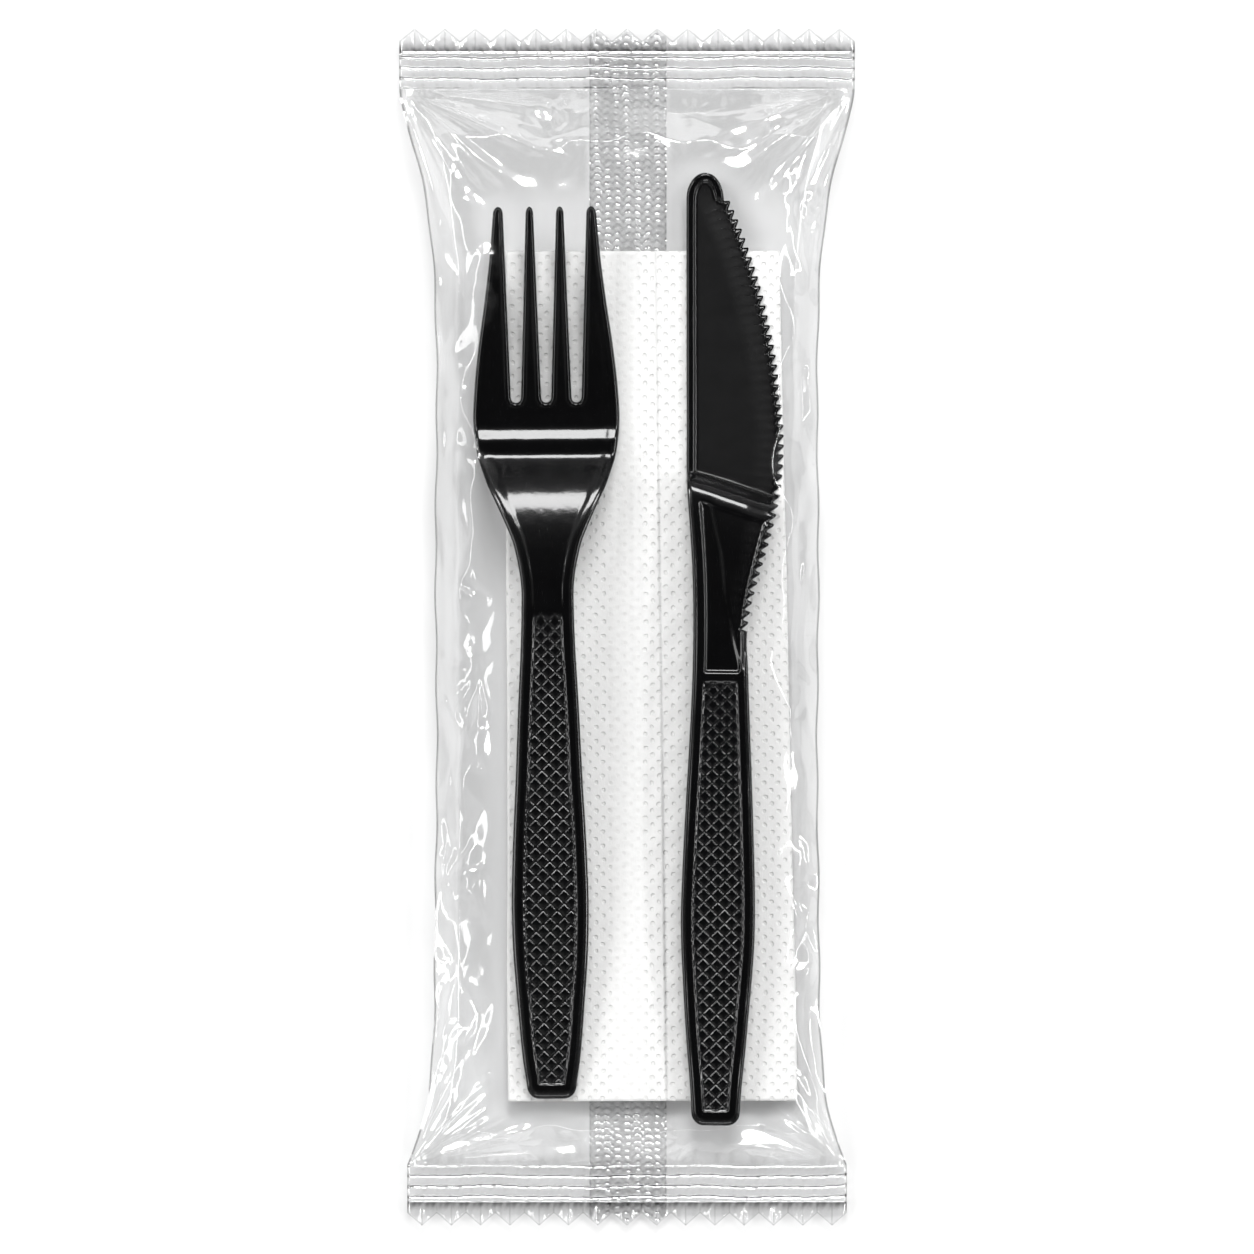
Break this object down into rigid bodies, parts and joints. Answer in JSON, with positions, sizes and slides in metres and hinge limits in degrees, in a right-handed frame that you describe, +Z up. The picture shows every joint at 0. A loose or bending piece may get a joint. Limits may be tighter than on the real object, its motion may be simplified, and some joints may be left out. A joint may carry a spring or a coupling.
{
  "type": "plastic cutlery pack",
  "caption": "Disposable fork and knife on a folded paper napkin, flow-wrapped in a clear crinkled film pack with toothed crimp seals and a lengthwise back seal.",
  "frame": {"origin": "on the surface that the pack lies on, under the middle of its outline", "axes": "+X across the pack from the fork to the knife, +Y along the pack towards the tines and the blade tip, +Z up out of the front film"},
  "size_m": [0.091, 0.2392, 0.0165],
  "materials": {
    "clear_film": "clear glossy film with crinkles, crimped at the seals",
    "black_plastic": "glossy moulded black plastic, satin on the blade, fine diamond texture on the handles",
    "white_tissue": "matte white embossed paper tissue with coined edges"
  },
  "bodies": {
    "root": {"film_wrapper": "clear_film", "fork": "black_plastic", "knife": "black_plastic", "napkin": "white_tissue"}
  },
  "joints": []
}
